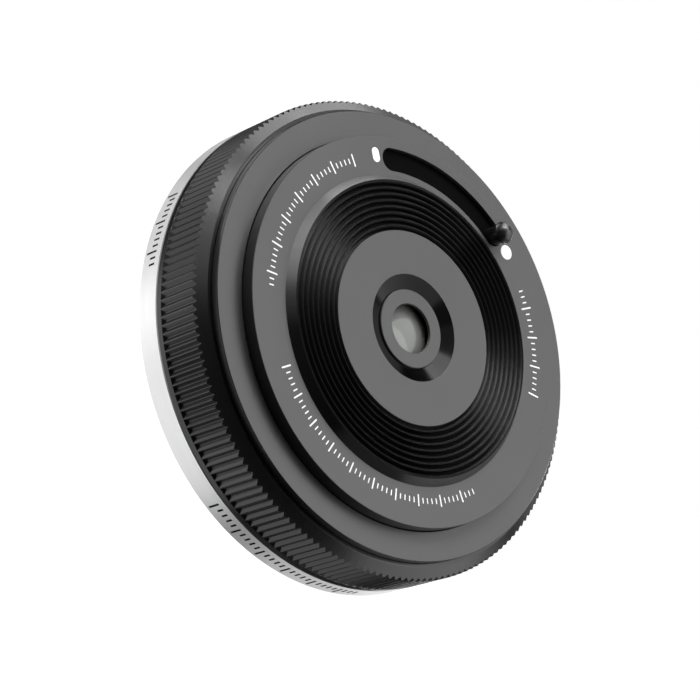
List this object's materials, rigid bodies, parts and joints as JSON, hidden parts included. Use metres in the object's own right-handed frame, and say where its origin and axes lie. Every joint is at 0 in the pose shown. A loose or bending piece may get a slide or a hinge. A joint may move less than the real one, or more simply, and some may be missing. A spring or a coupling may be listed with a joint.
{
  "type": "pancake camera lens",
  "caption": "Thin round prime lens with knurled grip ring, bright rear ring, bayonet mount and a built-in sliding lens cover worked by a small pin in an arc slot.",
  "frame": {"origin": "centre of the bayonet flange's seating face", "axes": "+Z along the optical axis towards the subject, +Y towards the top of the lens (the cover slot is at the bottom)"},
  "size_m": [0.0604, 0.0604, 0.0223],
  "materials": {
    "chrome_mount": "satin",
    "silver_ring": "brushed satin",
    "black_knurl": "satin black anodised",
    "black_anodised": "satin black anodised, fine grain",
    "black_ribs": "semi-gloss black",
    "black_lever": "gloss black",
    "white_enamel": "enamel",
    "black_moulding": "matt",
    "chassis_metal": "glass-filled moulding",
    "inner_black": "matt black",
    "gold_contact": "polished",
    "screw_steel": "satin",
    "blade_steel": "matt black coated",
    "coated_glass": "polished, coated",
    "copper_coil": "enamelled wire",
    "magnet_nickel": "nickel plated",
    "green_board": "solder mask",
    "chip_black": "moulded",
    "amber_flex": "polyimide"
  },
  "bodies": {
    "housing": {"aperture_stop": "inner_black", "baffle_screws": "screw_steel", "base_screws": "screw_steel", "bayonet_mount": "chrome_mount", "blade_pivots": "screw_steel", "board_chips": "chip_black", "board_screws": "screw_steel", "board_socket": "black_moulding", "bridge_screws": "screw_steel", "cell_retainer": "inner_black", "cell_screws": "screw_steel", "centre_disc": "black_anodised", "chassis": "chassis_metal", "click_ball": "screw_steel", "click_spring": "screw_steel", "contact_block": "black_moulding", "contact_flex": "amber_flex", "contact_pins": "gold_contact", "contact_screws": "screw_steel", "cover_base": "inner_black", "drive_magnets": "magnet_nickel", "drive_yokes": "magnet_nickel", "front_bezel": "black_anodised", "front_cell": "inner_black", "front_plate": "black_anodised", "front_rim": "black_anodised", "grip_ring": "black_knurl", "guide_rods": "screw_steel", "lens_bridge": "inner_black", "lens_fourth": "coated_glass", "lens_front": "coated_glass", "lens_second": "coated_glass", "lens_third": "coated_glass", "main_board": "green_board", "mark_closed": "white_enamel", "mark_open": "white_enamel", "mount_ring": "silver_ring", "mount_screws": "screw_steel", "position_sensor": "chip_black", "rear_baffle": "black_moulding", "rear_cell": "inner_black", "rear_cell_screws": "screw_steel", "rear_element": "coated_glass", "rear_retainer": "inner_black", "ribbed_ring": "black_ribs", "spacer_front": "inner_black", "spacer_rear": "inner_black"},
    "cover_ring": {"drive_ring": "blade_steel", "cover_lever": "black_lever"},
    "blade_a": {"blade_a": "blade_steel", "follower_a": "screw_steel"},
    "blade_b": {"blade_b": "blade_steel", "follower_b": "screw_steel"},
    "focus_unit": {"focus_cell": "inner_black", "focus_element": "coated_glass", "voice_coil": "copper_coil", "position_magnet": "magnet_nickel"}
  },
  "joints": [
    {"name": "cover_lever_swing", "type": "hinge", "parent": "housing", "child": "cover_ring", "pos_m": [0, 0, 0.01343], "axis": [0, 0, 1], "range_deg": [0, 50.6]},
    {"name": "blade_a_swing", "type": "hinge", "parent": "housing", "child": "blade_a", "pos_m": [0, -0.009, 0.01422], "axis": [0, 0, 1], "range_deg": [-26.05, 0]},
    {"name": "blade_b_swing", "type": "hinge", "parent": "housing", "child": "blade_b", "pos_m": [0, 0.009, 0.01404], "axis": [0, 0, 1], "range_deg": [-26.05, 0]},
    {"name": "focus_travel", "type": "slide", "parent": "housing", "child": "focus_unit", "axis": [0, 0, 1], "range_m": [0, 0.0015]}
  ],
  "couplings": [
    {"joint": "blade_a_swing", "follows": "cover_lever_swing", "ratio": -0.51383},
    {"joint": "blade_b_swing", "follows": "cover_lever_swing", "ratio": -0.51383}
  ]
}
